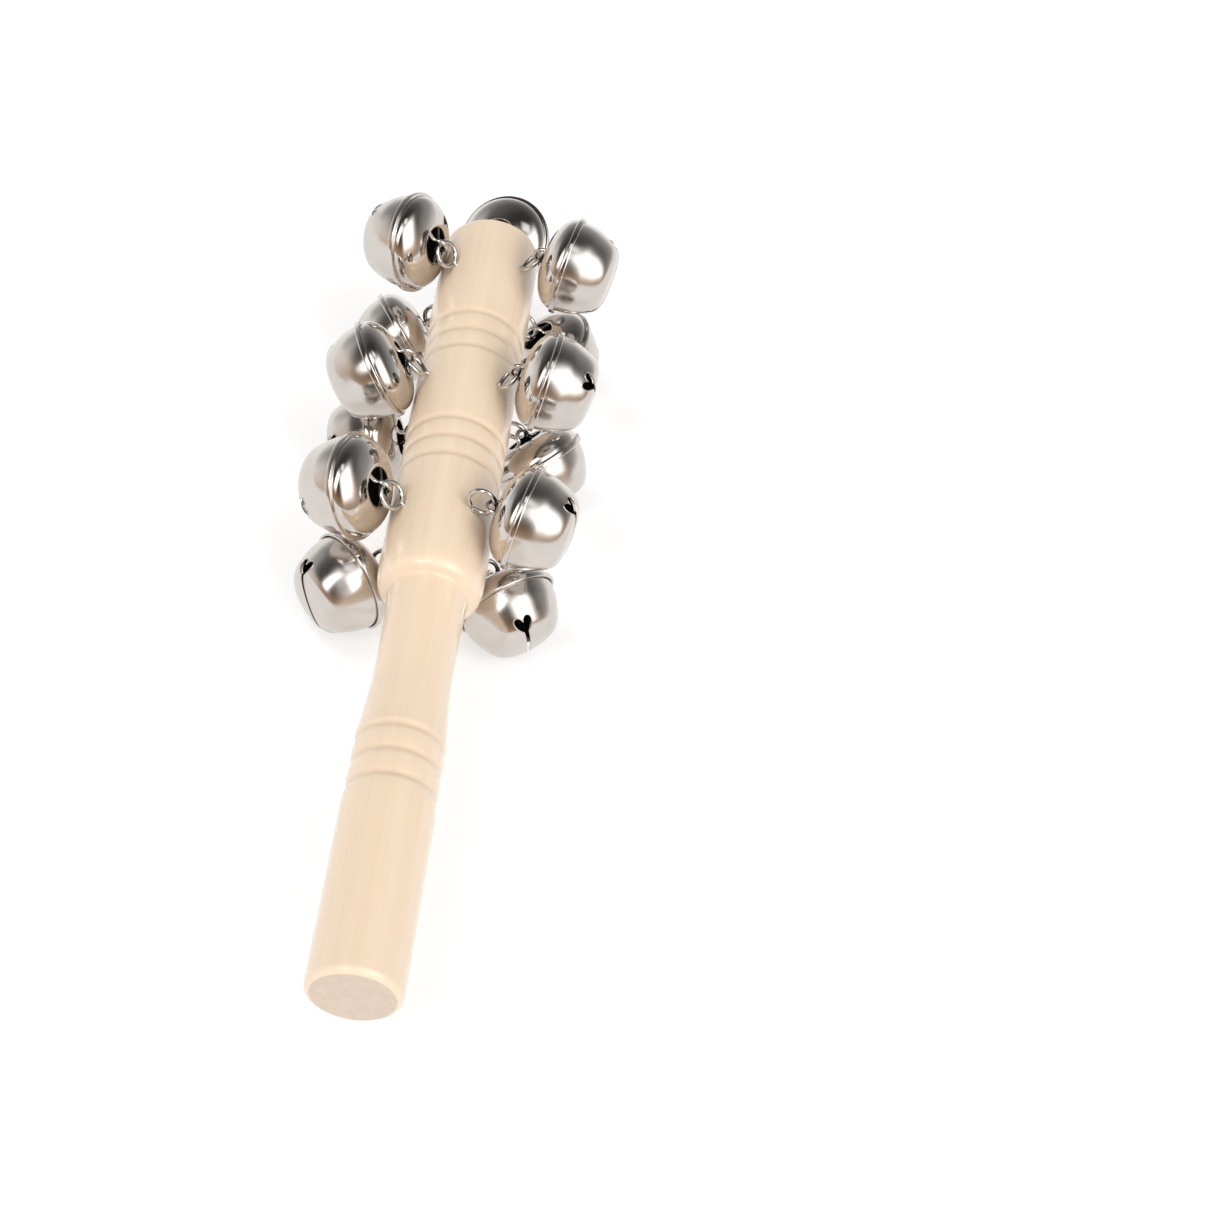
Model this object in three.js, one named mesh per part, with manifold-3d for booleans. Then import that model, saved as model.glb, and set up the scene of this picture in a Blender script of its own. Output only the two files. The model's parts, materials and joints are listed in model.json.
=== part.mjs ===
// Jingle stick: a turned wooden handle with a grooved barrel that carries thirteen sleigh bells.
// Every bell hangs by a wire loop from its own screw eye and holds one loose steel pellet.
// Millimetres. The stick lies along Y, butt end towards -Y and head towards +Y, +Z up.
import * as THREE from 'three';
import { mergeVertices } from 'three/addons/utils/BufferGeometryUtils.js';
import Module from 'manifold-3d';

// ---------- driving dimensions ----------
const STICK_LENGTH = 227;
const HANDLE_R = 10.25;
const NECK_R = 8.8;
const HEAD_R = 12.55;
const END_ROUND = 2.4;
const GROOVE_HALF = 1.15;
const GROOVE_DEPTH = 0.45;
const HANDLE_GROOVES = [49, 55.6, 62];
const MIDDLE_GROOVES = [141, 147, 153];
const TIP_GROOVES = [178.5, 184.5, 190.7];
const STICK_SEGMENTS = 24;

const EYE_REACH = 19.8; // stick axis to the outermost wire centre of an eye
const EYE_RING_R = 3.2; // ring radius at the wire centre
const EYE_WIRE_R = 0.6;
const SHANK_R = 0.7;
const SHANK_TIP = 5.2; // shank tip to stick axis
const PILOT_R = 1.1;
const PILOT_FLOOR = 4.2; // floor of the pilot hole to stick axis

const CROWN_Z = 0.7; // eye wire centre to the bell's crown
const CROWN_HOLE_R = 4.6;
const RIM_R = 12.75;
const RIM_Z = 7.0; // eye wire centre to the middle of the rim
const RIM_HALF = 0.7;
const BODY_R = 11.9;
const CUP_BOTTOM_Z = 19.2; // eye wire centre to the lowest point of the cup
const SHEET = 0.6;
const SEAM_GAP = 0.35; // between the rolled rim and the cup's edge
const SLOT_WIDTH = 1.4;
const SLOT_END_R = 1.9;
const SLOT_END_OFFSET = 7.6;
const LOOP_R = 1.9; // bend radius of the wire loop at its centre line
const LOOP_WIRE_R = 0.55;
const PELLET_R = 3.25;
const PELLET_MID_Z = 10.1; // middle of the space the pellet's centre can reach
const PELLET_SIDE = 7.0; // how far it can go sideways from there
const PELLET_DOWN = 4.5; // and towards the cup's bottom
const BELL_SEGMENTS = 14;

const STICK_TILT = 2.0; // degrees, the head a little higher than the handle

// Where each bell hangs: station along the stick, angle of its eye round the stick from the top,
// turn of the eye on its own shank, lean of the bell away from straight out, and roll of the cup
// about the bell's own axis (degrees). The eyes are set by hand, so no two are quite alike.
// A flat eye lies across the stick, and the bell's loop has slid round its ring.
const BELLS = [
  { name: 'front_upper_left', along: 125.3, around: -49.5, turn: -13.8, lean: -68.7, roll: 111 },
  { name: 'front_upper_right', along: 125.2, around: 30, turn: -13.8, lean: 63, roll: 91, flat: true },
  { name: 'front_lower_right', along: 126.5, around: 132.5, turn: 73, lean: -55, roll: 151 },
  { name: 'front_lower_left', along: 123.6, around: -135.5, turn: -57, lean: 56.5, roll: 68 },
  { name: 'middle_upper_left', along: 170.2, around: -54.2, turn: 18.4, lean: -68.9, roll: 35 },
  { name: 'middle_upper_right', along: 168, around: 36.1, turn: -7.1, lean: 59.4, roll: 29 },
  { name: 'middle_lower_right', along: 173, around: 124.5, turn: -74, lean: 28, roll: 148 },
  { name: 'middle_lower_left', along: 168.5, around: -138, turn: -10, lean: 29, roll: 145 },
  { name: 'tip_upper_left', along: 209.4, around: -43.6, turn: -20.1, lean: -69.4, roll: 8 },
  { name: 'tip_upper_right', along: 212.2, around: 39.9, turn: -13.5, lean: 53.4, roll: 142 },
  { name: 'tip_lower_right', along: 213, around: 129.5, turn: 5, lean: 6, roll: 150 },
  { name: 'tip_lower_left', along: 211, around: -136.5, turn: -66, lean: 30, roll: 26 },
  { name: 'end', end: true, turn: 62, lean: 57, roll: 60 },
];

const wasm = await Module();
wasm.setup();
const rad = THREE.MathUtils.degToRad;

// ---------- materials ----------
const MATERIALS = {
  wood: new THREE.MeshStandardMaterial({ name: 'wood', color: 0xead3b1, roughness: 0.45 }),
  chrome: new THREE.MeshStandardMaterial({ name: 'chrome', color: 0xd9dbde, roughness: 0.15, metalness: 1 }),
  steel: new THREE.MeshStandardMaterial({ name: 'steel', color: 0xa9abaf, roughness: 0.35, metalness: 1 }),
};

// ---------- helpers ----------
function toSolid(geometry) {
  const bare = geometry.clone();
  bare.deleteAttribute('normal');
  bare.deleteAttribute('uv');
  const merged = mergeVertices(bare, 1e-4);
  const index = merged.index.array;
  const faces = [];
  for (let i = 0; i < index.length; i += 3) {
    const [a, b, c] = [index[i], index[i + 1], index[i + 2]];
    if (a !== b && b !== c && c !== a) {
      faces.push(a, b, c);
    }
  }
  return new wasm.Manifold(new wasm.Mesh({
    numProp: 3,
    vertProperties: new Float32Array(merged.attributes.position.array),
    triVerts: new Uint32Array(faces),
  }));
}

function toGeometry(solid) {
  const mesh = solid.getMesh();
  const geometry = new THREE.BufferGeometry();
  geometry.setAttribute('position', new THREE.BufferAttribute(new Float32Array(mesh.vertProperties), 3));
  geometry.setIndex(new THREE.BufferAttribute(new Uint32Array(mesh.triVerts), 1));
  return geometry;
}

// A body turned about Y from [radius, height] pairs; the outline runs up the outside.
function turned(points, segments) {
  const outline = points.map(([r, y]) => new THREE.Vector2(r, y));
  return new THREE.LatheGeometry(outline, segments);
}

// A round bar along a list of [x, y, z] points.
function bar(points, radius, sides, steps) {
  const path = new THREE.CatmullRomCurve3(points.map((p) => new THREE.Vector3(...p)));
  const section = new THREE.Shape();
  for (let i = 0; i < sides; i += 1) {
    const angle = (2 * Math.PI * i) / sides;
    const [x, y] = [radius * Math.cos(angle), radius * Math.sin(angle)];
    if (i === 0) {
      section.moveTo(x, y);
    } else {
      section.lineTo(x, y);
    }
  }
  section.closePath();
  return new THREE.ExtrudeGeometry(section, { steps, bevelEnabled: false, extrudePath: path });
}

// A round rod along +Z between two heights.
function rod(radius, low, high, sides) {
  const geometry = new THREE.CylinderGeometry(radius, radius, high - low, sides);
  geometry.rotateX(Math.PI / 2);
  geometry.translate(0, 0, (low + high) / 2);
  return geometry;
}

// Frame of one eye: +Z runs out of the stick along the shank.
function eyeFrame(bell) {
  const frame = new THREE.Matrix4();
  if (bell.end) {
    frame.makeTranslation(0, STICK_LENGTH - HEAD_R, 0);
    frame.multiply(new THREE.Matrix4().makeRotationX(-Math.PI / 2));
  } else {
    frame.makeTranslation(0, bell.along, 0);
    frame.multiply(new THREE.Matrix4().makeRotationY(rad(bell.around)));
  }
  return frame.multiply(new THREE.Matrix4().makeRotationZ(rad(bell.turn)));
}

// Frame of one bell: origin where its loop crosses the eye's wire, +Z towards the cup's bottom.
function bellFrame(bell) {
  const frame = eyeFrame(bell);
  const pivot = bell.flat ? EYE_REACH - EYE_RING_R : EYE_REACH;
  frame.multiply(new THREE.Matrix4().makeTranslation(0, 0, pivot));
  frame.multiply(new THREE.Matrix4().makeRotationY(rad(bell.lean)));
  frame.multiply(new THREE.Matrix4().makeTranslation(0, 0, EYE_REACH - pivot));
  if (bell.flat) {
    frame.multiply(new THREE.Matrix4().makeRotationZ(Math.PI / 2));
  }
  return frame;
}

// ---------- stick ----------
function grooves(stations, radius, crown) {
  const outline = [];
  const last = stations.length - 1;
  stations.forEach((s, i) => {
    outline.push([radius - (i === 0 ? 0 : crown), s - GROOVE_HALF]);
    outline.push([radius - crown - GROOVE_DEPTH, s]);
    outline.push([radius - (i === last ? 0 : crown), s + GROOVE_HALF]);
    if (i < last) {
      outline.push([radius - crown / 3, (s + stations[i + 1]) / 2]);
    }
  });
  return outline;
}

function buildStick() {
  const outline = [
    [0, 0],
    [HANDLE_R - 1.75, 0],
    [HANDLE_R - 0.65, 0.5],
    [HANDLE_R, 1.8],
    [HANDLE_R, 45.5],
    ...grooves(HANDLE_GROOVES, HANDLE_R - 0.15, 0.15),
    [9.75, 66],
    [9.3, 73],
    [NECK_R + 0.05, 79],
    [NECK_R, 86],
    [9.0, 97],
    [9.45, 105.8],
    [10.7, 106.5],
    [11.8, 108.2],
    [12.4, 111],
    [HEAD_R, 114.5],
    ...grooves(MIDDLE_GROOVES, HEAD_R, 0.15),
    ...grooves(TIP_GROOVES, HEAD_R - 0.05, 0.2),
    [HEAD_R + 0.05, 205],
    [HEAD_R, STICK_LENGTH - END_ROUND],
    [HEAD_R - 0.6, STICK_LENGTH - 0.7],
    [HEAD_R - END_ROUND, STICK_LENGTH],
    [0, STICK_LENGTH],
  ];
  let stick = toSolid(turned(outline, STICK_SEGMENTS));
  for (const bell of BELLS) {
    const hole = rod(PILOT_R, PILOT_FLOOR, EYE_REACH, 8);
    hole.applyMatrix4(eyeFrame(bell));
    stick = stick.subtract(toSolid(hole));
  }
  return toGeometry(stick);
}

// ---------- screw eye, in its own frame ----------
function buildEye(flat) {
  const ring = new THREE.TorusGeometry(EYE_RING_R, EYE_WIRE_R, 6, 12);
  if (flat) {
    ring.rotateX(Math.PI / 2);
  } else {
    ring.rotateY(Math.PI / 2);
  }
  ring.translate(0, 0, EYE_REACH - EYE_RING_R);
  const shank = rod(SHANK_R, SHANK_TIP, EYE_REACH - 2 * EYE_RING_R + 0.1, 6);
  return toGeometry(toSolid(ring).add(toSolid(shank)));
}

// ---------- bell, in its own frame ----------
function buildCrown(roll) {
  const outline = [
    [CROWN_HOLE_R, CROWN_Z + SHEET],
    [8.5, CROWN_Z + 1.75],
    [BODY_R - SHEET, RIM_Z - 0.1],
    [RIM_R - SEAM_GAP, RIM_Z - 0.1],
    [RIM_R - SEAM_GAP, RIM_Z + RIM_HALF],
    [RIM_R, RIM_Z + RIM_HALF],
    [RIM_R, RIM_Z - RIM_HALF],
    [BODY_R, RIM_Z - RIM_HALF - 0.1],
    [8.9, CROWN_Z + 1.2],
    [CROWN_HOLE_R, CROWN_Z],
    [CROWN_HOLE_R, CROWN_Z + SHEET],
  ].reverse();
  const shell = turned(outline, BELL_SEGMENTS);
  shell.rotateX(Math.PI / 2);
  shell.rotateZ(rad(roll));
  const knee = [2.7, CROWN_Z + 0.55];
  const foot = [7.2, CROWN_Z + 1.3];
  const bend = [];
  for (let angle = 180; angle >= 0; angle -= 45) {
    bend.push([LOOP_R * Math.cos(rad(angle)), 0, -LOOP_R * Math.sin(rad(angle))]);
  }
  const path = [
    [-foot[0], 0, foot[1]],
    [-knee[0], 0, knee[1]],
    ...bend,
    [knee[0], 0, knee[1]],
    [foot[0], 0, foot[1]],
  ];
  const loop = bar(path, LOOP_WIRE_R, 6, 12);
  return toGeometry(toSolid(shell).add(toSolid(loop)));
}

function buildCup() {
  const edge = RIM_Z + 0.25;
  const side = RIM_R - 2 * SEAM_GAP;
  const outline = [
    [0, CUP_BOTTOM_Z],
    [6.8, CUP_BOTTOM_Z - 0.75],
    [9.75, CUP_BOTTOM_Z - 4],
    [11.6, RIM_Z + 4.2],
    [side, edge + 0.75],
    [side, edge],
    [BODY_R - SHEET, edge],
    [10.95, RIM_Z + 4],
    [9.2, CUP_BOTTOM_Z - 4.35],
    [6.5, CUP_BOTTOM_Z - 1.4],
    [0, CUP_BOTTOM_Z - SHEET],
  ].reverse();
  const shell = turned(outline, BELL_SEGMENTS);
  shell.rotateX(Math.PI / 2);
  const slot = new THREE.BoxGeometry(2 * SLOT_END_OFFSET, SLOT_WIDTH, 8);
  slot.translate(0, 0, CUP_BOTTOM_Z - 1);
  let cut = toSolid(slot);
  for (const side_ of [-1, 1]) {
    const end = rod(SLOT_END_R, CUP_BOTTOM_Z - 6, CUP_BOTTOM_Z + 3, 8);
    end.translate(side_ * SLOT_END_OFFSET, 0, 0);
    cut = cut.add(toSolid(end));
  }
  return toGeometry(toSolid(shell).subtract(cut));
}

// The pellet lies at the lowest place it can roll to.
function pelletPlace(frame) {
  const down = new THREE.Vector3(0, 0, -1);
  down.applyMatrix4(new THREE.Matrix4().extractRotation(frame).invert());
  const across = Math.hypot(down.x, down.y) / PELLET_SIDE;
  const reach = 1 / Math.hypot(across, down.z / PELLET_DOWN);
  return down.multiplyScalar(reach).add(new THREE.Vector3(0, 0, PELLET_MID_Z));
}

// ---------- assembly ----------
const group = new THREE.Group();
group.name = 'jingle_stick';
const tilt = new THREE.Matrix4().makeRotationX(rad(STICK_TILT));

function place(name, geometry, material, matrix) {
  const mesh = new THREE.Mesh(geometry.clone(), material);
  mesh.name = name;
  mesh.geometry.applyMatrix4(matrix);
  group.add(mesh);
}

const roundEye = buildEye(false);
const flatEye = buildEye(true);
const cup = buildCup();
const pellet = new THREE.IcosahedronGeometry(PELLET_R, 1);
pellet.deleteAttribute('normal');
pellet.deleteAttribute('uv');
const ball = mergeVertices(pellet, 1e-4);

place('stick', buildStick(), MATERIALS.wood, tilt);
for (const bell of BELLS) {
  const eye = new THREE.Matrix4().multiplyMatrices(tilt, eyeFrame(bell));
  const frame = new THREE.Matrix4().multiplyMatrices(tilt, bellFrame(bell));
  const rest = pelletPlace(frame);
  const inside = frame.clone().multiply(new THREE.Matrix4().makeTranslation(rest.x, rest.y, rest.z));
  place(`screw_eye_${bell.name}`, bell.flat ? flatEye : roundEye, MATERIALS.steel, eye);
  place(`bell_crown_${bell.name}`, buildCrown(bell.roll), MATERIALS.chrome, frame);
  const rolled = frame.clone().multiply(new THREE.Matrix4().makeRotationZ(rad(bell.roll)));
  place(`bell_cup_${bell.name}`, cup, MATERIALS.chrome, rolled);
  place(`pellet_${bell.name}`, ball, MATERIALS.steel, inside);
}

// The origin is the bottom centre of the whole part.
const box = new THREE.Box3().setFromObject(group);
const shift = new THREE.Vector3(-(box.min.x + box.max.x) / 2, -(box.min.y + box.max.y) / 2, -box.min.z);
for (const mesh of group.children) {
  mesh.geometry.translate(shift.x, shift.y, shift.z);
}

export default group;
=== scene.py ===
# Looks of the jingle stick: turned lacquered wood, plated sleigh bells, bright wire eyes and loops.
# Lengths below are in millimetres in the frames of the stick and of each bell; MM turns them into metres.
import json
import math

import bmesh
import bpy
import numpy as np
from mathutils import Matrix, Vector


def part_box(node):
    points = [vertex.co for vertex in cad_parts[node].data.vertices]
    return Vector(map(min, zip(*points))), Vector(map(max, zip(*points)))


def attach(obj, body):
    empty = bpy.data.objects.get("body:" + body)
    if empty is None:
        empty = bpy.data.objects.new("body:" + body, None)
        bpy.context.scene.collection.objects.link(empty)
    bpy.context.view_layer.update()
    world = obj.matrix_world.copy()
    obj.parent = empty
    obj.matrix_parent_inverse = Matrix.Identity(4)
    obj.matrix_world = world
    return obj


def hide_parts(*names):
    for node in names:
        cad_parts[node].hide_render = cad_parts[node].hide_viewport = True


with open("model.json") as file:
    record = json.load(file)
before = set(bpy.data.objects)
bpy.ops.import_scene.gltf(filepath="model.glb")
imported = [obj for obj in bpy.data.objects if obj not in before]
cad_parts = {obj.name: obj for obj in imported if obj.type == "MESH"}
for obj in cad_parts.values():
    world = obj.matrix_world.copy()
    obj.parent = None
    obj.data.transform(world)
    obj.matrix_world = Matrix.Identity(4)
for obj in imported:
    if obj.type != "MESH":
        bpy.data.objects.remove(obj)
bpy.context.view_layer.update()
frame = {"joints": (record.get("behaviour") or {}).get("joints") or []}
MM = 0.001

# ---------- sizes: the CAD's, but with a slightly fuller crown (CROWN_Z) and a thinner sheet ----------
STICK_LENGTH, HANDLE_R, NECK_R, HEAD_R = 227.0, 10.25, 8.8, 12.55
EYE_REACH, EYE_RING_R, EYE_WIRE_R, SHANK_R, SHANK_TIP = 19.8, 3.2, 0.6, 0.7, 5.2
CROWN_Z, CROWN_HOLE_R, RIM_R, RIM_Z, RIM_HALF = 0.5, 4.6, 12.75, 7.0, 0.7
BODY_R, CUP_BOTTOM_Z, SHEET = 11.9, 19.2, 0.55
LOOP_R, LOOP_WIRE_R, PELLET_R = 1.9, 0.55, 3.25
STICK_TILT = 2.0
HANDLE_GROOVES, MIDDLE_GROOVES, TIP_GROOVES = (49, 55.6, 62), (141, 147, 153), (178.5, 184.5, 190.7)
GROOVE_HALF, GROOVE_DEPTH = 1.15, 0.45
SHOULDER_Y = 105.7
BUTT_ROUND, HEAD_ROUND = 1.75, 2.4
CROWN_CURVE = 2.1  # exponent of the dome's superellipse: 2 is an ellipse, more is boxier
# the slot's hearts are measured along the sheet from the middle of the cup's bottom
HEART_TOP, HEART_WIDTH, HEART_HEIGHT, SLOT_HALF = 11.3, 4.5, 5.2, 0.6
LIP_R, LIP_SUNK = 0.15, 0.06

# name, station along the stick, angle round it, turn of the eye, lean and roll of the bell, flat eye
BELLS = [
    ("front_upper_left", 125.3, -49.5, -13.8, -68.7, 111, False),
    ("front_upper_right", 125.2, 30, -13.8, 63, 91, True),
    ("front_lower_right", 126.5, 132.5, 73, -55, 151, False),
    ("front_lower_left", 123.6, -135.5, -57, 56.5, 68, False),
    ("middle_upper_left", 170.2, -54.2, 18.4, -68.9, 35, False),
    ("middle_upper_right", 168, 36.1, -7.1, 59.4, 29, False),
    ("middle_lower_right", 173, 124.5, -74, 28, 148, False),
    ("middle_lower_left", 168.5, -138, -10, 29, 145, False),
    ("tip_upper_left", 209.4, -43.6, -20.1, -69.4, 8, False),
    ("tip_upper_right", 212.2, 39.9, -13.5, 53.4, 142, False),
    ("tip_lower_right", 213, 129.5, 5, 6, 150, False),
    ("tip_lower_left", 211, -136.5, -66, 30, 26, False),
    ("end", None, 0, 62, 57, 60, False),
]


def turn(axis, degrees):
    return Matrix.Rotation(math.radians(degrees), 4, axis)


def move(x, y, z):
    return Matrix.Translation((x * MM, y * MM, z * MM))


# The stick's frame, found from the end bell's hinge.
tilt = turn("X", STICK_TILT)
end_hinge = next(j for j in frame["joints"] if j["name"] == "swing_end")
origin = Vector(end_hinge["pos_m"]) - tilt @ Vector((0, (STICK_LENGTH - HEAD_R + EYE_REACH) * MM, 0))
STICK = Matrix.Translation(origin) @ tilt


def eye_frame(bell):
    _, along, around, twist, _, _, _ = bell
    if along is None:
        base = move(0, STICK_LENGTH - HEAD_R, 0) @ turn("X", -90)
    else:
        base = move(0, along, 0) @ turn("Y", around)
    return STICK @ base @ turn("Z", twist)


def bell_frame(bell):
    lean, flat = bell[4], bell[6]
    pivot = EYE_REACH - EYE_RING_R if flat else EYE_REACH
    m = eye_frame(bell) @ move(0, 0, pivot) @ turn("Y", lean) @ move(0, 0, EYE_REACH - pivot)
    return m @ turn("Z", 90) if flat else m


# ---------- mesh helpers ----------
def link(obj):
    bpy.context.scene.collection.objects.link(obj)
    return obj


def place(name, mesh, matrix):
    """A copy of a shape put where it belongs. It keeps its own coordinates for its material to follow."""
    mesh = mesh.copy()
    local = mesh.attributes.new("local", "FLOAT_VECTOR", "POINT")
    own = np.empty(len(mesh.vertices) * 3, np.float32)
    mesh.vertices.foreach_get("co", own)
    local.data.foreach_set("vector", own)
    mesh.transform(matrix)
    return link(bpy.data.objects.new(name, mesh))


def make_mesh(name, verts, faces):
    mesh = bpy.data.meshes.new(name)
    mesh.from_pydata([tuple(c * MM for c in v) for v in verts], [], faces)
    mesh.polygons.foreach_set("use_smooth", [True] * len(mesh.polygons))
    mesh.update()
    return mesh


def revolve(name, profile, segments, closed=False, axis="Z"):
    """A surface of revolution from (radius, height) pairs that run with the solid on their left."""
    verts, rings = [], []
    for r, h in profile:
        if r < 1e-6:
            rings.append([len(verts)])
            verts.append((0.0, 0.0, h))
        else:
            rings.append(list(range(len(verts), len(verts) + segments)))
            for i in range(segments):
                a = 2 * math.pi * i / segments
                verts.append((r * math.cos(a), r * math.sin(a), h))
    faces = []
    pairs = list(zip(rings, rings[1:]))
    if closed:
        pairs.append((rings[-1], rings[0]))
    for low, high in pairs:
        for i in range(segments):
            j = (i + 1) % segments
            if len(low) == 1 and len(high) == 1:
                continue
            if len(low) == 1:
                faces.append((low[0], high[j], high[i]))
            elif len(high) == 1:
                faces.append((low[i], low[j], high[0]))
            else:
                faces.append((low[i], low[j], high[j], high[i]))
    if axis == "Y":
        verts = [(x, z, -y) for x, y, z in verts]
    return make_mesh(name, verts, faces)


def sweep(name, points, radius, sides, closed=False):
    """A round wire along a dense list of points, capped flat at its ends. radius may be a list."""
    pts = [Vector(p) for p in points]
    n = len(pts)
    radii = radius if isinstance(radius, list) else [radius] * n
    verts, faces = [], []
    tangents = []
    for i in range(n):
        a = pts[(i - 1) % n] if closed or i else pts[0]
        b = pts[(i + 1) % n] if closed or i < n - 1 else pts[-1]
        tangents.append((b - a).normalized())
    normal = tangents[0].orthogonal().normalized()
    for i in range(n):
        normal = (normal - normal.dot(tangents[i]) * tangents[i]).normalized()
        side = tangents[i].cross(normal)
        for k in range(sides):
            a = 2 * math.pi * k / sides
            verts.append(tuple(pts[i] + radii[i] * (math.cos(a) * normal + math.sin(a) * side)))
    for i in range(n if closed else n - 1):
        for k in range(sides):
            a, b = i * sides + k, i * sides + (k + 1) % sides
            c, d = ((i + 1) % n) * sides + (k + 1) % sides, ((i + 1) % n) * sides + k
            faces.append((a, b, c, d))
    if not closed:
        faces.append(tuple(reversed(range(sides))))
        faces.append(tuple((n - 1) * sides + k for k in range(sides)))
    return make_mesh(name, verts, faces)


def dome(radius, height, power, steps):
    """Quarter of a superellipse: (radius, height) pairs from the wide end to the pole."""
    out = []
    for i in range(steps + 1):
        t = math.radians(90) * i / steps
        out.append((radius * abs(math.cos(t)) ** (2 / power), height * math.sin(t) ** (2 / power)))
    out[-1] = (0.0, height)
    return out


# ---------- materials ----------
def material(name):
    mat = bpy.data.materials.new(name)
    mat.use_nodes = True
    nodes, links = mat.node_tree.nodes, mat.node_tree.links
    return mat, nodes, links, nodes["Principled BSDF"]


def mapped(nodes, links, scale):
    """The piece's own coordinates in metres, scaled."""
    coord = nodes.new("ShaderNodeAttribute")
    coord.attribute_name = "local"
    mapping = nodes.new("ShaderNodeMapping")
    mapping.inputs["Scale"].default_value = scale
    links.new(coord.outputs["Vector"], mapping.inputs["Vector"])
    return mapping.outputs["Vector"], coord


def noise(nodes, links, vector, scale, detail=3.0, roughness=0.5, distortion=0.0):
    node = nodes.new("ShaderNodeTexNoise")
    node.inputs["Scale"].default_value = scale
    node.inputs["Detail"].default_value = detail
    node.inputs["Roughness"].default_value = roughness
    node.inputs["Distortion"].default_value = distortion
    links.new(vector, node.inputs["Vector"])
    return node.outputs["Fac"]


def ramp(nodes, links, value, stops):
    node = nodes.new("ShaderNodeValToRGB")
    elements = node.color_ramp.elements
    while len(elements) < len(stops):
        elements.new(0.5)
    for element, (position, colour) in zip(elements, stops):
        element.position = position
        element.color = (*colour, 1.0) if len(colour) == 3 else colour
    links.new(value, node.inputs["Fac"])
    return node.outputs["Color"]


def math_node(nodes, links, operation, a, b):
    node = nodes.new("ShaderNodeMath")
    node.operation = operation
    for i, v in enumerate((a, b)):
        if isinstance(v, (int, float)):
            node.inputs[i].default_value = v
        else:
            links.new(v, node.inputs[i])
    return node.outputs["Value"]


def mix_colour(nodes, links, factor, a, b, blend="MIX"):
    node = nodes.new("ShaderNodeMix")
    node.data_type = "RGBA"
    node.blend_type = blend
    for socket, v in ((node.inputs["Factor"], factor), (node.inputs[6], a), (node.inputs[7], b)):
        if isinstance(v, tuple):
            socket.default_value = (*v, 1.0)
        elif isinstance(v, (int, float)):
            socket.default_value = v
        else:
            links.new(v, socket)
    return node.outputs[2]


def bump(nodes, links, shader, height, distance, strength=1.0):
    node = nodes.new("ShaderNodeBump")
    node.inputs["Distance"].default_value = distance
    node.inputs["Strength"].default_value = strength
    links.new(height, node.inputs["Height"])
    links.new(node.outputs["Normal"], shader.inputs["Normal"])


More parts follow.
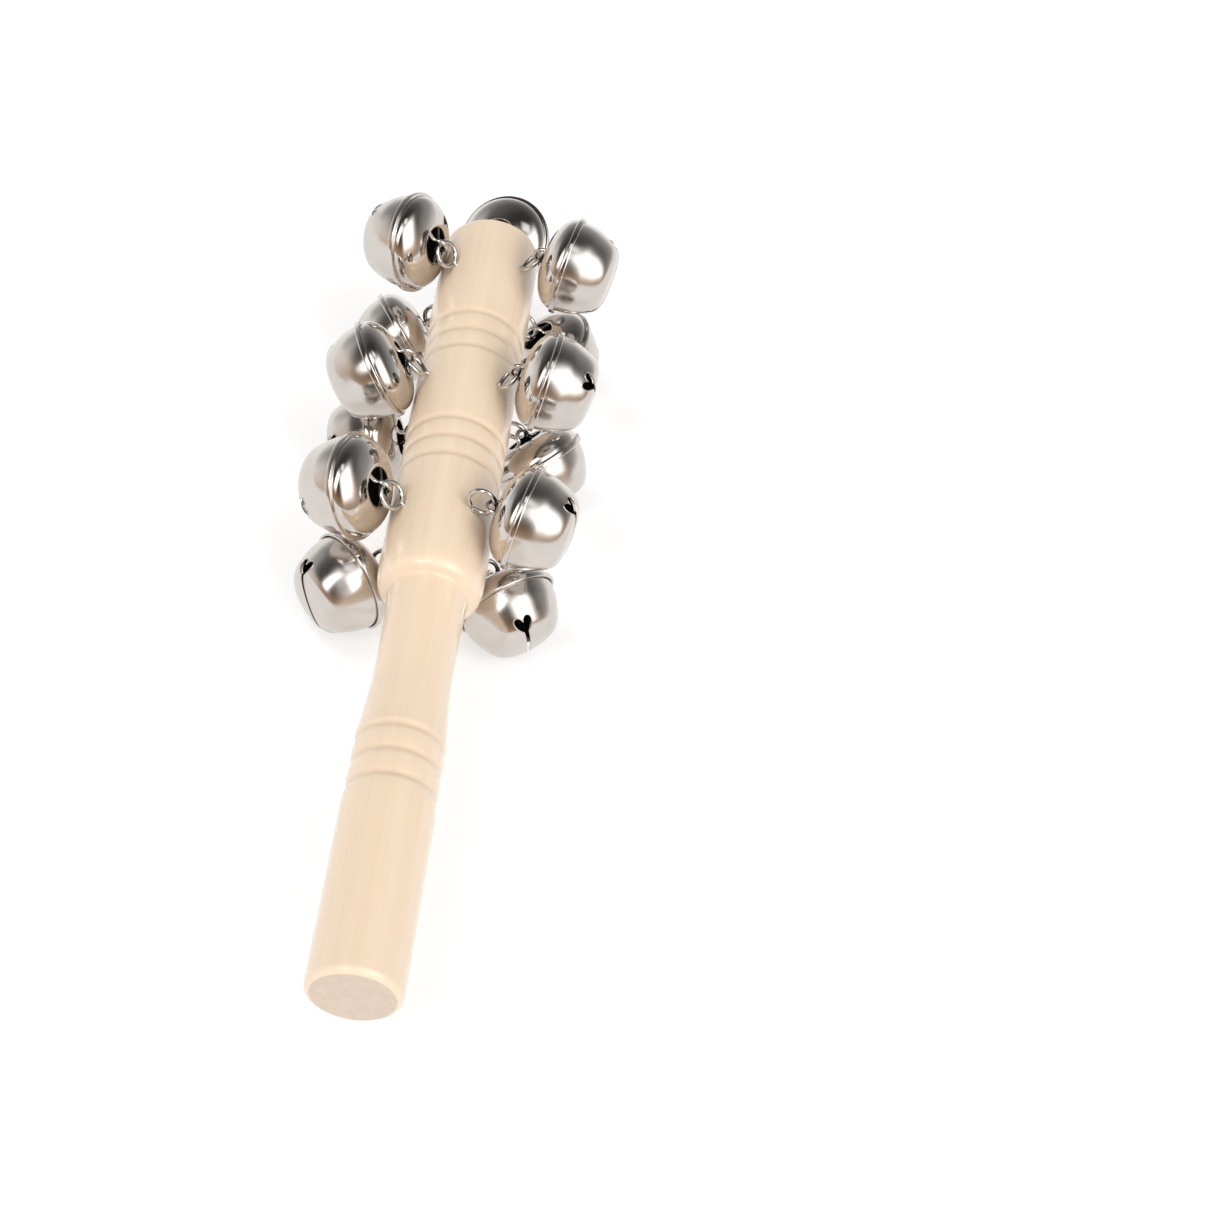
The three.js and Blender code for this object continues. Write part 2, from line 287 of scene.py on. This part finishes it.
def wood_material():
    mat, nodes, links, shader = material("lacquered_wood")
    streak_v, coord = mapped(nodes, links, (260, 9, 260))
    broad = noise(nodes, links, streak_v, 1.0, 4, 0.55, 0.4)
    fine_v, _ = mapped(nodes, links, (1500, 30, 1500))
    fine = noise(nodes, links, fine_v, 1.0, 2, 0.6)
    tone = ramp(nodes, links, broad, [
        (0.25, (0.83, 0.66, 0.49)), (0.55, (0.85, 0.685, 0.52)), (0.8, (0.86, 0.70, 0.54))])
    pores = ramp(nodes, links, fine, [(0.30, (0.86, 0.80, 0.72)), (0.46, (1, 1, 1))])
    body = mix_colour(nodes, links, 0.18, tone, pores, "MULTIPLY")
    # growth rings, seen as faint long lines on the sides and as arcs on the ends
    ring_v, _ = mapped(nodes, links, (1, 0.06, 1))
    wave = nodes.new("ShaderNodeTexWave")
    wave.wave_type = "RINGS"
    wave.rings_direction = "Y"
    wave.inputs["Scale"].default_value = 95.0
    wave.inputs["Distortion"].default_value = 3.0
    wave.inputs["Detail"].default_value = 2.0
    wave.inputs["Detail Scale"].default_value = 1.2
    shift = nodes.new("ShaderNodeVectorMath")
    shift.operation = "ADD"
    shift.inputs[1].default_value = (0.021, 0.0, 0.016)
    links.new(ring_v, shift.inputs[0])
    links.new(shift.outputs["Vector"], wave.inputs["Vector"])
    rings = ramp(nodes, links, wave.outputs["Fac"], [(0.0, (0.93, 0.90, 0.86)), (0.6, (1, 1, 1))])
    body = mix_colour(nodes, links, 0.16, body, rings, "MULTIPLY")
    # end grain is a little greyer and darker
    split = nodes.new("ShaderNodeSeparateXYZ")
    links.new(coord.outputs["Vector"], split.inputs["Vector"])
    from_middle = math_node(nodes, links, "SUBTRACT", split.outputs["Y"], STICK_LENGTH / 2 * MM)
    past = math_node(nodes, links, "SUBTRACT", math_node(nodes, links, "ABSOLUTE", from_middle, 0.0),
                     (STICK_LENGTH / 2 - 1.0) * MM)
    end_mask = ramp(nodes, links, math_node(nodes, links, "MULTIPLY", past, 1000.0),
                    [(0.86, (0, 0, 0)), (0.97, (1, 1, 1))])
    speck_v, _ = mapped(nodes, links, (420, 20, 420))
    speck = ramp(nodes, links, noise(nodes, links, speck_v, 1.0, 3, 0.6),
                 [(0.35, (0.585, 0.475, 0.37)), (0.65, (0.635, 0.52, 0.415))])
    end_tone = mix_colour(nodes, links, 0.30, speck, rings, "MULTIPLY")
    body = mix_colour(nodes, links, end_mask, body, end_tone)
    # painted shade: the wood colour is darkened in the turned grooves and at the shoulder step
    groove_shade = nodes.new("ShaderNodeAttribute")
    groove_shade.attribute_name = "groove_shade"
    dark = math_node(nodes, links, "MULTIPLY", groove_shade.outputs["Fac"], 0.30)
    body = mix_colour(nodes, links, dark, body, (0.52, 0.37, 0.24))
    links.new(body, shader.inputs["Base Color"])
    rough = ramp(nodes, links, broad, [(0.3, (0.40, 0.40, 0.40)), (0.7, (0.50, 0.50, 0.50))])
    links.new(rough, shader.inputs["Roughness"])
    shader.inputs["Specular IOR Level"].default_value = 0.35
    shader.inputs["Coat Weight"].default_value = 0.8
    shader.inputs["Coat Roughness"].default_value = 0.08
    # very fine lathe marks under the lacquer, and its slight orange peel
    lathe_v, _ = mapped(nodes, links, (60, 2600, 60))
    marks = noise(nodes, links, lathe_v, 1.0, 2, 0.5)
    peel_v, _ = mapped(nodes, links, (220, 220, 220))
    peel = noise(nodes, links, peel_v, 1.0, 2, 0.5)
    height = math_node(nodes, links, "ADD", math_node(nodes, links, "MULTIPLY", marks, 0.12), peel)
    height = math_node(nodes, links, "ADD", height, math_node(nodes, links, "MULTIPLY", fine, 0.15))
    bump(nodes, links, shader, height, 0.00012, 0.5)
    return mat


def plated_material(name, colour, rough_low, rough_high, wobble):
    mat, nodes, links, shader = material(name)
    shader.inputs["Metallic"].default_value = 1.0
    smudge_v, _ = mapped(nodes, links, (260, 260, 260))
    smudge = noise(nodes, links, smudge_v, 1.0, 4, 0.6)
    rough = ramp(nodes, links, smudge, [(0.35, (rough_low,) * 3), (0.75, (rough_high,) * 3)])
    links.new(rough, shader.inputs["Roughness"])
    tint = tuple(c * 0.93 for c in colour)
    links.new(ramp(nodes, links, smudge, [(0.3, colour), (0.8, tint)]), shader.inputs["Base Color"])
    # faint spinning marks round the bell's axis and a slight unevenness of the pressed sheet
    spin_v, _ = mapped(nodes, links, (120, 120, 5200))
    spin = noise(nodes, links, spin_v, 1.0, 2, 0.5)
    dent_v, _ = mapped(nodes, links, (150, 150, 150))
    dent = noise(nodes, links, dent_v, 1.0, 1, 0.4)
    height = math_node(nodes, links, "ADD", math_node(nodes, links, "MULTIPLY", spin, 0.02), dent)
    bump(nodes, links, shader, height, wobble, 0.6)
    return mat


def inside_shade_material():
    """Painted shade for the inner face of the pressed sheet: dull and dark, so that the bell's inside reads
    as shaded.
    """
    mat, nodes, links, shader = material("bell_inside_shade")
    shader.inputs["Metallic"].default_value = 0.6
    vector, _ = mapped(nodes, links, (400, 400, 400))
    stain = noise(nodes, links, vector, 1.0, 4, 0.6)
    links.new(ramp(nodes, links, stain, [(0.3, (0.030, 0.027, 0.025)), (0.75, (0.075, 0.066, 0.06))]),
              shader.inputs["Base Color"])
    links.new(ramp(nodes, links, stain, [(0.3, (0.50,) * 3), (0.8, (0.75,) * 3)]), shader.inputs["Roughness"])
    bump(nodes, links, shader, stain, 0.0001, 0.5)
    return mat


WOOD = wood_material()
CROWN_PLATE = plated_material("crown_plating", (0.62, 0.58, 0.545), 0.06, 0.13, 0.00020)
CUP_PLATE = plated_material("cup_plating", (0.62, 0.58, 0.545), 0.15, 0.25, 0.00022)
WIRE_PLATE = plated_material("wire_plating", (0.68, 0.65, 0.62), 0.09, 0.17, 0.00004)
INSIDE_SHADE = inside_shade_material()
PELLET_STEEL = plated_material("pellet_steel", (0.55, 0.55, 0.56), 0.22, 0.4, 0.00006)


# ---------- stick ----------
def stick_profile():
    """Stations along the stick and the smoothed radius at each."""
    def grooves(stations, radius, crown):
        out = []
        for i, s in enumerate(stations):
            out.append((s - GROOVE_HALF, radius - (0 if i == 0 else crown)))
            out.append((s, radius - crown - GROOVE_DEPTH))
            out.append((s + GROOVE_HALF, radius - (0 if i == len(stations) - 1 else crown)))
            if i < len(stations) - 1:
                out.append(((s + stations[i + 1]) / 2, radius - crown / 3))
        return out

    knots = [(0, HANDLE_R), (45.5, HANDLE_R), *grooves(HANDLE_GROOVES, HANDLE_R - 0.15, 0.15),
             (66, 9.75), (73, 9.3), (79, NECK_R + 0.05), (86, NECK_R), (97, 9.0), (105.4, 9.42),
             (105.8, 10.55), (106.5, 11.45), (107.9, 12.15), (110, 12.45), (113, HEAD_R),
             *grooves(MIDDLE_GROOVES, HEAD_R, 0.15),
             *grooves(TIP_GROOVES, HEAD_R - 0.05, 0.2),
             (205, HEAD_R + 0.05), (STICK_LENGTH, HEAD_R)]
    station = np.arange(0, STICK_LENGTH + 0.01, 0.1)
    radius = np.interp(station, [k[0] for k in knots], [k[1] for k in knots])
    kernel = np.exp(-0.5 * (np.arange(-12, 13) * 0.1 / 0.42) ** 2)
    kernel /= kernel.sum()
    padded = np.pad(radius, 12, mode="edge")
    return station, np.convolve(padded, kernel, mode="valid")


def build_stick():
    station, radius = stick_profile()
    profile = [(0.0, 0.0)]
    profile += [(r, 0.0) for r in np.linspace(0.6, HANDLE_R - BUTT_ROUND, 14)]
    for a in np.linspace(6, 90, 12):
        t = math.radians(a)
        profile.append((HANDLE_R - BUTT_ROUND + BUTT_ROUND * math.sin(t), BUTT_ROUND * (1 - math.cos(t))))
    inner = [(r, s) for s, r in zip(station, radius) if 1.9 < s < STICK_LENGTH - 2.5]
    profile += [p for i, p in enumerate(inner) if i % 4 == 0 or 47 < p[1] < 64 or 104 < p[1] < 116
                or 139 < p[1] < 155 or 177 < p[1] < 193]
    for a in np.linspace(0, 84, 12):
        t = math.radians(a)
        profile.append((HEAD_R - HEAD_ROUND + HEAD_ROUND * math.cos(t),
                        STICK_LENGTH - HEAD_ROUND + HEAD_ROUND * math.sin(t)))
    profile += [(r, STICK_LENGTH) for r in np.linspace(HEAD_R - HEAD_ROUND, 0.6, 14)]
    profile.append((0.0, STICK_LENGTH))
    mesh = revolve("stick_wood", profile, 112, axis="Y")
    # painted shade: how much the wood colour is darkened, strongest on the groove floors and fainter at the
    # shoulder step
    values = mesh.attributes.new("groove_shade", "FLOAT", "POINT")
    floors = np.array([*HANDLE_GROOVES, *MIDDLE_GROOVES, *TIP_GROOVES])
    along = np.array([v.co.y for v in mesh.vertices]) / MM
    near = np.abs(along[:, None] - floors[None, :]).min(1)
    depth = np.exp(-0.5 * (near / 0.62) ** 2)
    depth = np.maximum(depth, 0.4 * np.exp(-0.5 * ((along - SHOULDER_Y) / 0.6) ** 2))
    values.data.foreach_set("value", depth.astype(np.float32))
    mesh.materials.append(WOOD)
    obj = place("stick_wood", mesh, STICK)
    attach(obj, "handle_stick")
    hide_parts("stick")


# ---------- screw eyes ----------
def eye_mesh(flat):
    """Bent from one wire: a threaded shank that runs up into an almost closed ring."""
    centre = EYE_REACH - EYE_RING_R
    points = [(0, 0, z) for z in np.linspace(SHANK_TIP, centre - EYE_RING_R - 0.9, 30)]
    radii = []
    for i in range(len(points)):
        thread = 0.07 * math.sin(i * 2.1)
        radii.append(SHANK_R - 0.07 + thread if i < 22 else SHANK_R - 0.02)
    for a in np.linspace(-100, 248, 60):
        t = math.radians(a)
        ease = max(0.0, 1 - (a + 100) / 34)
        y = EYE_RING_R * math.cos(t)
        z = centre + EYE_RING_R * math.sin(t)
        points.append((0, y * (1 - 0.8 * ease), z - 0.35 * ease))
        radii.append(EYE_WIRE_R)
    if flat:
        points = [(y, 0, z) for _, y, z in points]
    mesh = sweep("screw_eye", points, radii, 16)
    mesh.materials.append(WIRE_PLATE)
    return mesh


# ---------- bells ----------


def crown_mesh():
    """Shallow upper half: crown hole with a turned lip, dome, and the rim rolled over the cup's edge."""
    z_side = RIM_Z - RIM_HALF
    height = z_side - CROWN_Z + 0.18
    outer = [(r, z_side - h) for r, h in dome(BODY_R, height, CROWN_CURVE, 40)
             if r > CROWN_HOLE_R + 0.25]
    inner = [(r, z_side - h) for r, h in dome(BODY_R - SHEET, height - SHEET, CROWN_CURVE, 30)
             if r > CROWN_HOLE_R + 0.1]
    lip_out = [(CROWN_HOLE_R + 0.16, outer[-1][1] + 0.03), (CROWN_HOLE_R + 0.03, outer[-1][1] + 0.14),
               (CROWN_HOLE_R, outer[-1][1] + 0.32), (CROWN_HOLE_R + 0.03, inner[-1][1] - 0.05)]
    # the flange that is folded over the cup's edge: a flat band with tight round corners
    roll = []
    for a in np.linspace(-90, 90, 21):
        t = math.radians(a)
        fold = abs(math.cos(t)) ** 0.55
        rise = math.copysign(abs(math.sin(t)) ** 0.62, math.sin(t))
        roll.append((RIM_R - 0.36 + 0.36 * fold, RIM_Z + RIM_HALF * rise))
    fillet = [(BODY_R + 0.01, z_side - 0.12), (BODY_R + 0.05, z_side - 0.03), (BODY_R + 0.14, z_side)]
    under = [(RIM_R - 0.60, RIM_Z + RIM_HALF - 0.02), (RIM_R - 0.66, RIM_Z + RIM_HALF - 0.1),
             (RIM_R - 0.67, RIM_Z + 0.3), (RIM_R - 0.5, RIM_Z),
             (BODY_R - 0.1, RIM_Z - 0.12), (BODY_R - SHEET, z_side + 0.2)]
    loop = list(reversed(outer)) + fillet + roll + under + inner + list(reversed(lip_out))
    mesh = revolve("bell_crown", loop, 96, closed=True)
    mesh.materials.append(CROWN_PLATE)
    mesh.materials.append(INSIDE_SHADE)
    # faces on the inside of the sheet take the second material, painted shade for the bell's dark inside
    for face in mesh.polygons:
        c, n = face.center / MM, face.normal
        outward = n.x * c.x + n.y * c.y + n.z * (c.z - RIM_Z)
        if outward < 0 and math.hypot(c.x, c.y) < BODY_R - 0.2:
            face.material_index = 1
    return mesh


# (radius, height) where the cup's outline turns: a tapered wall, a tight shoulder and a nearly flat bottom
CUP_KNOTS = [(11.9, RIM_Z + 0.3), (11.86, RIM_Z + 1.6), (11.45, 11.5), (9.85, 15.4), (8.7, 17.4), (7.0, 18.5),
             (4.2, 19.0), (0.0, CUP_BOTTOM_Z), (-4.2, 19.0), (-7.0, 18.5)]


def cup_curve():
    """Points of the cup's outline with the outward direction at each, evenly spaced from rim to bottom."""
    knots = np.array(CUP_KNOTS)
    run = np.concatenate([[0], np.cumsum(np.hypot(*np.diff(knots, axis=0).T))])
    t = np.linspace(0, run[-1], 1600)
    r, z = np.interp(t, run, knots[:, 0]), np.interp(t, run, knots[:, 1])
    step = t[1] - t[0]
    half = int(3.2 / step)
    kernel = np.exp(-0.5 * (np.arange(-half, half + 1) * step / 1.0) ** 2)
    kernel /= kernel.sum()
    r = np.convolve(np.concatenate([np.full(half, r[0]), r, np.full(half, r[-1])]), kernel, mode="valid")
    lead = z[0] - step * np.arange(half, 0, -1)
    z = np.convolve(np.concatenate([lead, z, np.full(half, z[-1])]), kernel, mode="valid")
    keep = r >= 0
    r, z = r[keep], z[keep]
    z *= (CUP_BOTTOM_Z - z[0]) / (z[-1] - z[0])
    z += CUP_BOTTOM_Z - z[-1]
    dr, dz = np.gradient(r), np.gradient(z)
    size = np.hypot(dr, dz)
    return r, z, dz / size, -dr / size


CURVE_R, CURVE_Z, CURVE_NR, CURVE_NZ = cup_curve()


def cup_profile(offset, count):
    picks = np.linspace(0, len(CURVE_R) - 1, count).astype(int)
    out = [(CURVE_R[i] - offset * CURVE_NR[i], CURVE_Z[i] - offset * CURVE_NZ[i]) for i in picks]
    out[-1] = (0.0, CUP_BOTTOM_Z - offset)
    return [(max(r, 0.0), z) for r, z in out]


def cut_shape(outline, low, high):
    """A straight prism used as a cutter."""
    n = len(outline)
    verts = [(x, y, low) for x, y in outline] + [(x, y, high) for x, y in outline]
    faces = [tuple(reversed(range(n))), tuple(range(n, 2 * n))]
    faces += [(i, (i + 1) % n, n + (i + 1) % n, n + i) for i in range(n)]
    return link(bpy.data.objects.new("cutter", make_mesh("cutter", verts, faces)))


def slot_outline():
    """The slot from heart to heart, drawn on the sheet: measured along the cup's outline from its middle."""
    steps = np.hypot(np.diff(CURVE_R), np.diff(CURVE_Z))
    from_middle = np.concatenate([[0], np.cumsum(steps[::-1])])
    half = []
    for i in range(61):
        t = 2 * math.pi * (i - 30) / 60
        across = HEART_WIDTH / 2 * math.sin(t) ** 3
        up = 13 * math.cos(t) - 5 * math.cos(2 * t) - 2 * math.cos(3 * t) - math.cos(4 * t)
        along = HEART_TOP + (up - 12) * HEART_HEIGHT / 29
        if abs(across) >= SLOT_HALF or up > 0:
            half.append((float(np.interp(along, from_middle, CURVE_R[::-1])), across))
    edge = half[-1][0]
    straight = [(edge * (1 - k / 8), SLOT_HALF) for k in range(1, 16)]
    half += straight
    return half + [(-x, -y) for x, y in half]


def punched_edge(outline):
    """The bright lip that the punch leaves round the slot."""
    points = []
    for (x0, y0), (x1, y1) in zip(outline, outline[1:] + outline[:1]):
        for share in (0.0, 0.5):
            x, y = x0 + (x1 - x0) * share, y0 + (y1 - y0) * share
            points.append((x, y, float(np.interp(math.hypot(x, y), CURVE_R[::-1], CURVE_Z[::-1]))))
    points = [(x, y, z - LIP_SUNK) for x, y, z in points]
    return sweep("lip", points, LIP_R, 8, closed=True)


def cup_mesh():
    """Deep lower half with one slot that runs across the bottom between two hearts."""
    outer = cup_profile(0.0, 64)
    inner = cup_profile(SHEET, 52)
    loop = list(reversed(inner)) + outer
    shell = link(bpy.data.objects.new("shell", revolve("bell_cup", loop, 128)))
    low, high = CUP_BOTTOM_Z - 8, CUP_BOTTOM_Z + 1
    outline = slot_outline()
    cutter = cut_shape(outline, low, high)
    change = shell.modifiers.new("cut", "BOOLEAN")
    change.operation, change.solver, change.object = "DIFFERENCE", "EXACT", cutter
    bpy.context.view_layer.update()
    graph = bpy.context.evaluated_depsgraph_get()
    mesh = bpy.data.meshes.new_from_object(shell.evaluated_get(graph))
    for obj in (cutter, shell):
        bpy.data.objects.remove(obj)
    mesh.name = "bell_cup"
    mesh.materials.clear()
    mesh.materials.append(CUP_PLATE)
    mesh.materials.append(INSIDE_SHADE)
    return shade_cup(mesh, punched_edge(outline))


def shade_cup(mesh, lip):
    """Join the lip to the cup. The cup's curved faces take the exact surface's direction, so that the cuts
    leave no ripples in reflections."""
    mesh.polygons.foreach_set("use_smooth", [True] * len(mesh.polygons))
    across = np.stack([CURVE_R, CURVE_Z], 1)
    co = np.empty(len(mesh.vertices) * 3)
    mesh.vertices.foreach_get("co", co)
    co = co.reshape(-1, 3) / MM
    radial = np.hypot(co[:, 0], co[:, 1])
    near, wall = [], []
    for r, z in zip(radial, co[:, 2]):
        d = np.hypot(across[:, 0] - r, across[:, 1] - z)
        i = int(d.argmin())
        near.append(i)
        wall.append(d[i])
    exact = []
    for i, (x, y, _), r in zip(near, co, radial):
        flat = (x / r, y / r) if r > 1e-6 else (0.0, 0.0)
        exact.append(Vector((flat[0] * CURVE_NR[i], flat[1] * CURVE_NR[i], CURVE_NZ[i])).normalized())
    normals = [None] * len(mesh.loops)
    for face in mesh.polygons:
        direction = sum((exact[v] for v in face.vertices), Vector()).normalized()
        facing = face.normal.dot(direction)
        depth = max(wall[v] for v in face.vertices)
        shallow = min(wall[v] for v in face.vertices)
        outside = facing > 0.9 and depth < 0.06
        inside = facing < -0.9 and shallow > SHEET - 0.08
        # faces on the inside of the sheet take the second material, painted shade for the bell's dark inside
        face.material_index = 1 if inside else 0
        for li, v in zip(face.loop_indices, face.vertices):
            normals[li] = tuple(exact[v] if outside else -exact[v] if inside else face.normal)
    bm = bmesh.new()
    bm.from_mesh(mesh)
    bm.from_mesh(lip)
    joined = bpy.data.meshes.new("bell_cup")
    bm.to_mesh(joined)
    bm.free()
    for plate in mesh.materials:
        joined.materials.append(plate)
    for face in list(joined.polygons)[len(mesh.polygons):]:
        face.material_index = 0
        for li in face.loop_indices:
            normals.append((0.0, 0.0, 0.0))
    joined.normals_split_custom_set(normals)
    return joined


def loop_mesh():
    """U of wire hooked over the eye, its legs through the crown hole and spread under the dome."""
    foot = CROWN_Z + 1.45
    points = []
    for t in np.linspace(0, 1, 14):
        points.append((-7.0 + 4.1 * t, 0, foot - 0.75 * t ** 0.8))
    for t in np.linspace(0.1, 1, 8):
        points.append((-2.9 + 1.0 * math.sin(t * math.pi / 2), 0, (foot - 0.75) * (1 - t ** 1.5)))
    for a in np.linspace(172, 8, 24):
        points.append((LOOP_R * math.cos(math.radians(a)), 0, -LOOP_R * math.sin(math.radians(a))))
    half = [(-x, y, z) for x, y, z in reversed(points[:22])]
    mesh = sweep("wire_loop", points + half, LOOP_WIRE_R, 16)
    mesh.materials.append(WIRE_PLATE)
    return mesh


def pellet_mesh():
    bm = bmesh.new()
    bmesh.ops.create_icosphere(bm, subdivisions=4, radius=PELLET_R * MM)
    for v in bm.verts:
        wobble = 1 - 0.006 * (1 + math.sin(v.co.x * 2100) * math.cos(v.co.y * 1700 + v.co.z * 900))
        v.co *= wobble
    mesh = bpy.data.meshes.new("pellet")
    bm.to_mesh(mesh)
    bm.free()
    mesh.polygons.foreach_set("use_smooth", [True] * len(mesh.polygons))
    mesh.materials.append(PELLET_STEEL)
    return mesh


def build_bells():
    crown, cup, loop, ball = crown_mesh(), cup_mesh(), loop_mesh(), pellet_mesh()
    eyes = {False: eye_mesh(False), True: eye_mesh(True)}
    for bell in BELLS:
        name, roll, flat = bell[0], bell[5], bell[6]
        at_bell = bell_frame(bell)
        rolled = at_bell @ turn("Z", roll)
        body = f"bell_{name}"
        parts = [
            (place(f"eye_wire_{name}", eyes[flat], eye_frame(bell)), "handle_stick", f"screw_eye_{name}",
             "steel"),
            (place(f"crown_shell_{name}", crown, rolled), body, f"bell_crown_{name}", "chrome"),
            (place(f"cup_shell_{name}", cup, rolled), body, f"bell_cup_{name}", "chrome"),
            (place(f"hook_loop_{name}", loop, at_bell), body, None, "steel"),
        ]
        low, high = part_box(f"pellet_{name}")
        at_ball = Matrix.Translation((low + high) / 2) @ at_bell.to_3x3().to_4x4()
        pellet = place(f"loose_pellet_{name}", ball, at_ball)
        parts.append((pellet, f"pellet_body_{name}", f"pellet_{name}", "steel"))
        for obj, rides, node, slot in parts:
            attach(obj, rides)
            if node:
                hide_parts(node)


build_stick()
build_bells()


# ---------- stage ----------
def build_floor():
    bm = bmesh.new()
    bmesh.ops.create_grid(bm, x_segments=4, y_segments=4, size=4.0)
    mesh = bpy.data.meshes.new("floor")
    bm.to_mesh(mesh)
    bm.free()
    mat, nodes, links, shader = material("floor_white")
    cloud = nodes.new("ShaderNodeTexNoise")
    cloud.inputs["Scale"].default_value = 5.0
    links.new(ramp(nodes, links, cloud.outputs["Fac"], [(0.3, (0.50,) * 3), (0.7, (0.53,) * 3)]),
              shader.inputs["Base Color"])
    shader.inputs["Emission Color"].default_value = (1, 1, 1, 1)
    shader.inputs["Emission Strength"].default_value = 0.56
    shader.inputs["Roughness"].default_value = 0.8
    shader.inputs["Specular IOR Level"].default_value = 0.0
    mesh.materials.append(mat)
    floor = link(bpy.data.objects.new("floor", mesh))
    floor.location = (0, 0, -0.0002)


def area(name, spot, aim, size, power):
    """A rectangular light that brightens the wood and the floor, and is not mirrored in the bells."""
    light = bpy.data.lights.new(name, "AREA")
    light.shape = "RECTANGLE"
    light.size, light.size_y = size
    light.energy = power
    obj = link(bpy.data.objects.new(name, light))
    obj.location = spot
    obj.rotation_euler = (Vector(aim) - Vector(spot)).to_track_quat("-Z", "Y").to_euler()
    obj.visible_glossy = False


def soft_box(nodes, links, direction, aim, widths, level):
    """A soft-edged glow round a direction given by azimuth from the front and elevation, in degrees."""
    azimuth, elevation = (math.radians(a) for a in aim)
    forward = Vector((math.sin(azimuth) * math.cos(elevation), -math.cos(azimuth) * math.cos(elevation),
                      math.sin(elevation)))
    side = forward.cross(Vector((0, 0, 1))).normalized()
    top = side.cross(forward)
    total = None
    for axis, width in ((side, widths[0]), (top, widths[1])):
        dot = nodes.new("ShaderNodeVectorMath")
        dot.operation = "DOT_PRODUCT"
        dot.inputs[1].default_value = axis
        links.new(direction, dot.inputs[0])
        share = math_node(nodes, links, "DIVIDE", dot.outputs["Value"], math.sin(math.radians(width)))
        square = math_node(nodes, links, "MULTIPLY", share, share)
        fourth = math_node(nodes, links, "MULTIPLY", square, square)
        total = fourth if total is None else math_node(nodes, links, "ADD", total, fourth)
    fall = math_node(nodes, links, "EXPONENT", math_node(nodes, links, "MULTIPLY", total, -1.0), 0.0)
    ahead = nodes.new("ShaderNodeVectorMath")
    ahead.operation = "DOT_PRODUCT"
    ahead.inputs[1].default_value = forward
    links.new(direction, ahead.inputs[0])
    near = math_node(nodes, links, "GREATER_THAN", ahead.outputs["Value"], 0.0)
    return math_node(nodes, links, "MULTIPLY", math_node(nodes, links, "MULTIPLY", fall, near), level)


SOFT_BOXES = [  # (azimuth, elevation), half widths in degrees, brightness
    ((46, 45), (24, 28), 3.1),
    ((-37, 47), (11, 21), 3.0),
    ((46, 45), (4.5, 5), 10.0),
    ((-37, 47), (4.5, 5), 10.0),
    ((-88, 16), (30, 15), 0.5),
    ((2, 84), (9, 7), 1.2),
]


def build_world():
    world = bpy.data.worlds.new("studio")
    bpy.context.scene.world = world
    world.use_nodes = True
    nodes, links = world.node_tree.nodes, world.node_tree.links
    back = nodes["Background"]
    coord = nodes.new("ShaderNodeTexCoord")
    direction = coord.outputs["Generated"]
    split = nodes.new("ShaderNodeSeparateXYZ")
    links.new(direction, split.inputs["Vector"])
    # dark overhead; a warm wall in front and a bright one behind, both fading upwards from the horizon
    elevation = math_node(nodes, links, "ARCSINE", split.outputs["Z"], 0.0)
    height = math_node(nodes, links, "DIVIDE", elevation, math.pi)
    warm = ramp(nodes, links, height, [
        (0.0, (0.52, 0.39, 0.28)), (0.06, (0.42, 0.275, 0.17)), (0.14, (0.20, 0.13, 0.085)),
        (0.24, (0.045, 0.04, 0.04)), (0.50, (0.045, 0.045, 0.045))])
    bright = ramp(nodes, links, height, [
        (0.0, (0.9, 0.9, 0.9)), (0.08, (0.42, 0.42, 0.42)), (0.22, (0.16, 0.16, 0.16)),
        (0.38, (0.055, 0.055, 0.055)), (0.50, (0.045, 0.045, 0.045))])
    backward = math_node(nodes, links, "ADD", split.outputs["Y"], 1.0)
    backward = math_node(nodes, links, "MULTIPLY", backward, 0.5)
    behind = ramp(nodes, links, backward, [(0.35, (0, 0, 0)), (0.65, (1, 1, 1))])
    sky = mix_colour(nodes, links, behind, warm, bright)
    boxes = None
    for aim, widths, level in SOFT_BOXES:
        glow = soft_box(nodes, links, direction, aim, widths, level)
        boxes = glow if boxes is None else math_node(nodes, links, "ADD", boxes, glow)
    glow_colour = nodes.new("ShaderNodeCombineColor")
    for name in ("Red", "Green", "Blue"):
        links.new(boxes, glow_colour.inputs[name])
    links.new(mix_colour(nodes, links, 1.0, sky, glow_colour.outputs["Color"], "ADD"), back.inputs["Color"])
    back.inputs["Strength"].default_value = 1.0


SENSOR_WIDTH = 36.0
FOCAL_RATIO = 2200 / 1224  # focal length over the width of the picture


def build_camera():
    data = bpy.data.cameras.new("camera")
    data.sensor_width = SENSOR_WIDTH
    data.lens = SENSOR_WIDTH * FOCAL_RATIO
    cam = link(bpy.data.objects.new("camera", data))
    # camera axes and butt-face centre, given in the stick's own frame
    butt = np.array((-51.868, 77.242, 440.242))
    along = np.array((0.088088, -0.761877, 0.641704))
    right = np.array((0.979516, 0.183357, 0.083234))
    up = np.array((0.181075, -0.621227, -0.762423))
    to_stick = np.stack([right, along, up])
    eye = to_stick @ -butt
    m = Matrix.Identity(4)
    for i in range(3):
        m[i][0] = to_stick[i, 0]
        m[i][1] = -to_stick[i, 1]
        m[i][2] = -to_stick[i, 2]
        m[i][3] = eye[i] * MM
    placed = STICK @ m
    rotation = placed.to_3x3()
    x = rotation.col[0].normalized()
    z = rotation.col[2].normalized()
    y = z.cross(x).normalized()
    x = y.cross(z)
    clean = Matrix((x, y, z)).transposed().to_4x4()
    clean.translation = placed.translation
    cam.matrix_world = clean
    data.clip_start, data.clip_end = 0.01, 20
    bpy.context.scene.camera = cam


build_floor()
build_world()
AIM = (0, 0.03, 0.02)
area("overhead", (-0.9, 0.1, 1.9), AIM, (0.8, 0.8), 12.6)
build_camera()
bpy.context.scene.view_settings.view_transform = "Standard"
